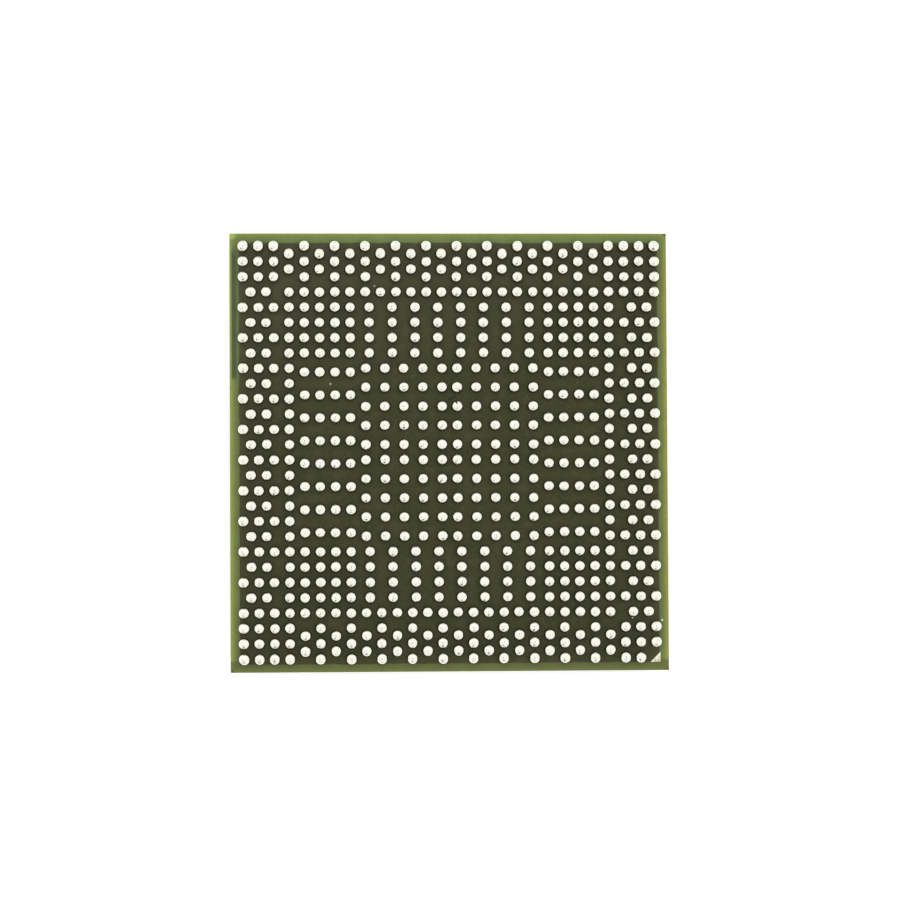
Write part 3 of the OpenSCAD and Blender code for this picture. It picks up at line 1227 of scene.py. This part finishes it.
@dataclass
class Capacitor:
    """A chip capacitor along X, its middle at the origin: ceramic, two wrapped ends and solder."""

    size: Vector
    terminal: float
    metal: float
    edge: float
    solder_foot: float
    solder_climb: float
    solder_bed: float
    solder_depth: float
    solder_taper: float = 0.25
    lap: float = 0.004

    def ceramic(self) -> bpy.types.Object:
        """Models the ceramic block."""
        half = self.size / 2 - Vector((self.metal,) * 3)
        body = block(Box(-half, half))
        round_edges(body, self.edge - self.metal, 3)
        return body

    def terminals(self) -> bpy.types.Object:
        """Models the two metal ends, each an open cap of thin metal."""
        half = self.size / 2
        caps = []
        for side in (-1, 1):
            near, far = half.x - self.terminal, half.x
            low, high = (near, far) if side > 0 else (-far, -near)
            cap = block(Box(Vector((low, -half.y, -half.z)), Vector((high, half.y, half.z))))
            round_edges(cap, self.edge, 4)
            bpy.ops.object.mode_set(mode="EDIT")
            inner = low if side > 0 else high
            pick(Element.FACE, lambda face: abs(face.calc_center_median().x - inner) < self.edge * 1.01)
            bpy.ops.mesh.delete(type="FACE")
            bpy.ops.object.mode_set(mode="OBJECT")
            for vert in cap.data.vertices:
                if abs(vert.co.x - inner) < self.edge * 1.01:
                    vert.co.x = inner
            wall = cap.modifiers.new("metal", "SOLIDIFY")
            wall.thickness = self.metal
            wall.offset = -1
            bpy.ops.object.modifier_apply(modifier=wall.name)
            caps.append(cap)
        return joined(caps)

    def fillets(self) -> bpy.types.Object:
        """Models the solder at both ends: the pool on the land, the bed and the fillet up the terminal."""
        half = self.size / 2
        deck = half.z + self.solder_bed
        root = deck + self.solder_depth / 2
        width = half.y - self.edge
        ends = []
        for side in (-1, 1):
            inner = side * (half.x - self.terminal)
            outer = side * (half.x + self.solder_foot)
            toe = outer - side * self.lap
            reach = sorted((side * half.x, toe))
            fillet = block(Box(Vector((reach[0], -width, deck - self.solder_climb)),
                               Vector((reach[1], width, root))))
            bpy.ops.object.mode_set(mode="EDIT")
            pick(Element.EDGE, lambda edge: runs_along(edge, 1) and abs(edge_middle(edge).x - toe) < 1e-4
                 and edge_middle(edge).z < deck - self.solder_climb / 2)
            bpy.ops.mesh.bevel(offset=self.solder_foot * 0.9, segments=7, profile=0.2)
            bpy.ops.object.mode_set(mode="OBJECT")
            spread = (half.y - self.lap) / width - 1
            for vert in fillet.data.vertices:
                share = max((deck - vert.co.z) / self.solder_climb, 0)
                vert.co.y *= 1 + spread * (1 - share) ** 2 - self.solder_taper * share**2
            bed = sorted((inner + side * self.lap, side * (half.x + self.lap)))
            fuse(fillet, block(Box(Vector((bed[0], -width, half.z)), Vector((bed[1], width, root)))))
            land = sorted((inner, outer))
            fuse(fillet, block(Box(Vector((land[0], -half.y, deck)),
                                   Vector((land[1], half.y, deck + self.solder_depth)))))
            ends.append(fillet)
        return joined(ends)


@dataclass
class CapacitorSet:
    """The capacitors round the die, one model copied to each packed place."""

    count: int
    ceramic: bpy.types.Material
    tin: bpy.types.Material
    solder: bpy.types.Material
    solder_box: Box
    mask_level: float
    terminal_share: float = 0.25
    solder_foot: float = 0.18

    def build(self) -> None:
        """Models one capacitor and copies it to every place."""
        first = Box.of("capacitor_1_terminals")
        inner = Box.of("capacitor_1_body")
        metal = inner.low.x - first.low.x
        model = Capacitor(
            size=first.size, terminal=self.terminal_share * first.size.x, metal=metal, edge=2 * metal,
            solder_foot=self.solder_foot, solder_climb=first.size.z / 2,
            solder_bed=self.mask_level - first.high.z, solder_depth=self.solder_box.high.z - self.mask_level)
        ceramic, terminals, fillets = model.ceramic(), model.terminals(), model.fillets()
        solder = []
        for number in range(1, self.count + 1):
            box = Box.of(f"capacitor_{number}_terminals")
            turn = 0 if box.size.x > box.size.y else math.pi / 2
            placing = Matrix.Translation(box.centre) @ Matrix.Rotation(turn, 4, "Z")
            finish_piece(copy_of(ceramic, placing), f"ceramic_block_{number}", self.ceramic,
                         [f"capacitor_{number}_body"])
            finish_piece(copy_of(terminals, placing), f"terminal_caps_{number}", self.tin,
                         [f"capacitor_{number}_terminals"])
            solder.append(copy_of(fillets, placing))
        finish_piece(joined(solder), "solder_fillets", self.solder, ["capacitor_solder"])
        for source in (ceramic, terminals, fillets):
            discard(source)


@dataclass
class Laminate:
    """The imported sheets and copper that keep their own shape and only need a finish."""

    finishes: dict[str, bpy.types.Material]

    def dress(self) -> None:
        """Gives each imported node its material."""
        for node, finish in self.finishes.items():
            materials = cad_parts[node].data.materials
            materials.clear()
            materials.append(finish)
            log.info("%s: %s", node, finish.name)


# ---------------------------------------------------------------- studio


@dataclass
class Studio:
    """A pale floor, an even soft dome, one large weak lamp and a camera over the ball side."""

    aim: Vector
    view_width: float = 47.196
    lens: float = 152.6
    lean: Point = (-0.0619, -0.0362)
    roll: float = 0.308
    floor_side: float = 900.0
    floor_tone: Colour = tone(252, 252, 252)
    floor_glow: float = 0.45
    sky_top: float = 0.97
    sky_bottom: float = 0.93
    gap_height: float = 0.4
    side_gap_height: float = 0.05
    gap_level: float = 0.1
    lamp_radiance: float = 0.12
    lamp_side: float = 400.0
    lamp_place: Vector = field(default_factory=lambda: Vector((-120.0, 260.0, 420.0)))

    def build(self) -> None:
        """Sets up the whole studio."""
        bpy.context.scene.view_settings.view_transform = "Standard"
        self.lay_floor()
        self.light_dome()
        self.hang_lamp()
        self.set_camera()

    def lay_floor(self) -> None:
        """Lays a white floor that shows white to the camera away from the object's shadow."""
        stand_clear()
        bpy.ops.mesh.primitive_plane_add(size=self.floor_side * MM, location=(0, 0, -0.02 * MM))
        floor = bpy.context.object
        floor.name = "floor"
        g = Graph("pale_floor")
        path = g.add("ShaderNodeLightPath").outputs
        seen = g.larger(path["Is Camera Ray"], path["Is Glossy Ray"])
        g.set(
            Base_Color=self.floor_tone,
            Roughness=0.9,
            Specular_IOR_Level=0.1,
            Emission_Color=(1, 1, 1, 1),
            Emission_Strength=g.times(seen, self.floor_glow),
        )
        floor.data.materials.append(g.material)

    def light_dome(self) -> None:
        """Makes the world a white dome, open at the foot towards +Y and -Y, and white to the camera."""
        world = bpy.data.worlds.new("soft_dome")
        bpy.context.scene.world = world
        world.use_nodes = True
        n = Nodes(world.node_tree)
        x, y, z = n.parts(n.add("ShaderNodeTexCoord").outputs["Generated"])
        level = n.ramp(y, -1, 1, self.sky_bottom, self.sky_top)
        ends = n.times(n.math("POWER", n.absolute(y), 8), self.gap_height)
        sides = n.times(n.math("POWER", n.absolute(x), 8), self.side_gap_height)
        above = n.minus(z, n.plus(ends, sides))
        lit = n.times(level, n.ramp(above, -0.02, 0.02, self.gap_level, 1))
        seen = n.add("ShaderNodeLightPath").outputs["Is Camera Ray"]
        background = n.tree.nodes["Background"]
        n.feed(background.inputs["Color"], (1, 1, 1, 1))
        n.feed(background.inputs["Strength"], n.larger(lit, seen))

    def hang_lamp(self) -> None:
        """Hangs one large, weak lamp above the object and towards +Y."""
        data = bpy.data.lights.new("soft_lamp", "AREA")
        data.size = self.lamp_side * MM
        data.energy = self.lamp_radiance * math.pi * data.size**2
        lamp = bpy.data.objects.new("soft_lamp", data)
        lamp.location = self.lamp_place * MM
        lamp.rotation_mode = "QUATERNION"
        lamp.rotation_quaternion = self.lamp_place.to_track_quat("Z", "Y")
        bpy.context.scene.collection.objects.link(lamp)

    def set_camera(self) -> None:
        """Hangs a long lens over the ball side, leaning a little towards +X and +Y."""
        data = bpy.data.cameras.new("camera")
        data.lens = self.lens
        data.clip_start, data.clip_end = 1 * MM, 5000 * MM
        camera = bpy.data.objects.new("camera", data)
        back = Vector((*self.lean, 1)).normalized()
        side = Vector((0, 1, 0)).cross(back).normalized()
        up = back.cross(side)
        turned = Matrix((side, up, back)).transposed().to_4x4() @ Matrix.Rotation(-math.radians(self.roll), 4, "Z")
        distance = self.view_width * self.lens / data.sensor_width
        camera.matrix_world = Matrix.Translation((self.aim + back * distance) * MM) @ turned
        bpy.context.scene.collection.objects.link(camera)
        bpy.context.scene.camera = camera


# ---------------------------------------------------------------- the whole


def main() -> None:
    """Builds and dresses every sub-assembly, then the studio."""
    mask = Box.of("ball_side_mask")
    plane = Box.of("ball_side_plane")
    zones = tuple(sorted(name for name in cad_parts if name.endswith("_balls")))

    masks = {side: MaskFinish(side, mask.high.x, plane.high.x).make() for side in MaskSide}
    copper = MetalFinish("copper_foil", tone(196, 128, 96), tone(150, 92, 66), 0.3, 0.5).make()
    gold = MetalFinish("plated_gold", tone(255, 254, 240), tone(196, 190, 142), 0.2, 0.36, patches_per_mm=3.2).make()
    solder = MetalFinish("reflowed_solder", tone(232, 232, 222), tone(196, 196, 184), 0.38, 0.55).make()
    film = ResinFinish("build_up_film", tone(92, 88, 40), tone(126, 120, 62), 0.45, 0.6).make()
    laminate = LaminateFinish().make()

    field_of_balls = BallField(zones, mask)
    field_of_balls.build()
    mark = Box.of("pin_one_mark")
    BallSideMask(zones, masks[MaskSide.BALL], field_of_balls.foot_radius, mask, plane, mark).build()
    Die(SiliconFinish().make(), Box.of("die")).build()
    resin = ResinFinish("dark_underfill", tone(40, 37, 34), tone(58, 54, 50), 0.22, 0.4).make()
    Underfill(resin, Box.of("underfill"), Box.of("die")).build()
    CapacitorSet(
        count=sum(name.endswith("_body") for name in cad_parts),
        ceramic=ResinFinish("fired_ceramic", tone(156, 128, 98), tone(184, 158, 126), 0.4, 0.6).make(),
        tin=MetalFinish("tin_plate", tone(212, 212, 206), tone(180, 180, 172), 0.26, 0.42).make(),
        solder=solder,
        solder_box=Box.of("capacitor_solder"),
        mask_level=Box.of("die_side_mask").low.z,
    ).build()
    Laminate({
        "core_sheet": laminate,
        "ball_side_film": film,
        "die_side_film": film,
        "core_vias": copper,
        "ball_side_plane": copper,
        "die_side_plane": copper,
        "ball_pads": copper,
        "bump_lands": copper,
        "capacitor_lands": gold,
        "die_side_mask": masks[MaskSide.DIE],
        "pin_one_mark": MarkFinish(mark).make(),
        "die_side_mark": gold,
        "die_bumps": solder,
    }).dress()
    Studio(aim=Vector((0.016, 0.1, mask.high.z + 0.19))).build()


if __name__ == "__main__":
    main()
